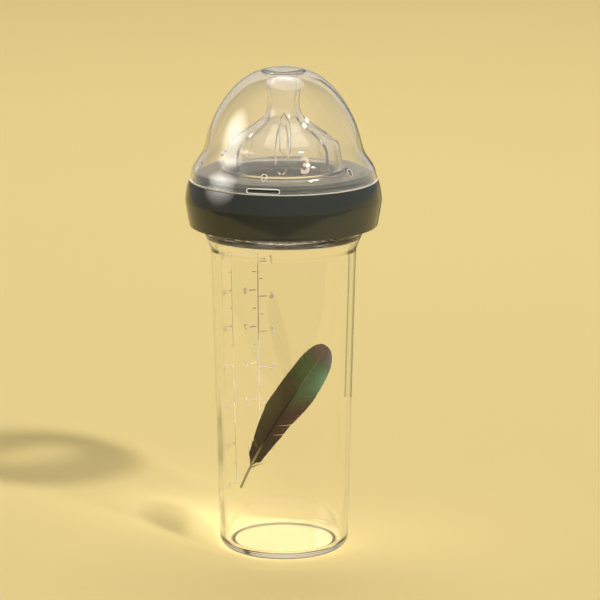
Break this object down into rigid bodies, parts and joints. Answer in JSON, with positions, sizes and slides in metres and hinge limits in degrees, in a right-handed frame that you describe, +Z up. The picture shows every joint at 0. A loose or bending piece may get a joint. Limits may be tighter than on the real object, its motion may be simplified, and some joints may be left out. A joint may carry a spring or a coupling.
{
  "type": "infant feeding bottle",
  "caption": "Clear tapered feeding bottle with a threaded neck, a dark screw collar, a fluted silicone teat and a clear dome cap that snaps over the collar.",
  "frame": {"origin": "centre of the bottle's base, on the surface that it stands on", "axes": "+Z up through the teat, -Y towards the front, where the printed feather is"},
  "size_m": [0.09, 0.09, 0.2245],
  "materials": {
    "clear_bottle": "clear, glossy copolyester",
    "collar_plastic": "glossy dark green-grey polypropylene",
    "silicone": "clear, smooth liquid silicone rubber",
    "clear_cap": "clear, slightly hazy polypropylene",
    "print_ink": "thin silver-grey printed ink",
    "feather_print": "printed feather in dark green, brown and violet"
  },
  "bodies": {
    "bottle": {"bottle_body": "clear_bottle"},
    "teat": {"teat": "silicone"},
    "collar": {"screw_collar": "collar_plastic"},
    "cap": {"dome_cap": "clear_cap"}
  },
  "joints": [
    {"name": "teat_lift", "type": "slide", "parent": "bottle", "child": "teat", "axis": [0, 0, 1], "range_m": [0, 0.0101]},
    {"name": "collar_screw", "type": "hinge", "parent": "teat", "child": "collar", "pos_m": [0, 0, 0.165], "axis": [0, 0, 1], "range_deg": [0, 360]},
    {"name": "cap_lift", "type": "slide", "parent": "collar", "child": "cap", "axis": [0, 0, 1], "range_m": [0, 0.06]}
  ],
  "couplings": [
    {"joint": "teat_lift", "follows": "collar_screw", "m_per_rad": 0.0015915}
  ]
}
